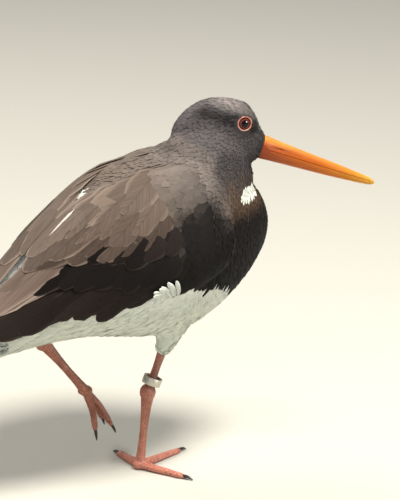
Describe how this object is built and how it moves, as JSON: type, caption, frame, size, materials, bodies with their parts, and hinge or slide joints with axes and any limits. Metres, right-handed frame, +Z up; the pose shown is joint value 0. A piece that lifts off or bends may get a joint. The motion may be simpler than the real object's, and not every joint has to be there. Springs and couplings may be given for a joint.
{
  "type": "oystercatcher model",
  "caption": "Life-size still model of a Eurasian oystercatcher, walking on one foot with the other raised, with a plain metal leg ring.",
  "frame": {"origin": "on the floor, under the root of the toes of the standing right foot", "axes": "+X the way the body faces, +Y to the bird's left, +Z up"},
  "size_m": [0.3286, 0.106, 0.2286],
  "materials": {
    "plumage": "matte",
    "bill": "satin",
    "eye": "gloss",
    "lid": "satin",
    "leg": "satin",
    "claw": "satin",
    "ring": "satin"
  },
  "bodies": {
    "root": {"torso": "plumage", "neck": "plumage", "head": "plumage", "wing_left": "plumage", "wing_right": "plumage", "eye_left": "eye", "eye_right": "eye", "eyelid_left": "lid", "eyelid_right": "lid", "tail": "plumage", "bill_upper": "bill", "bill_lower": "bill", "thigh_right": "plumage", "shank_right": "leg", "tarsus_right": "leg", "foot_right": "leg", "claw_right_outer": "claw", "claw_right_middle": "claw", "claw_right_inner": "claw", "thigh_left": "plumage", "shank_left": "leg", "tarsus_left": "leg", "foot_left": "leg", "claw_left_outer": "claw", "claw_left_middle": "claw", "claw_left_inner": "claw", "leg_ring": "ring"}
  },
  "joints": []
}
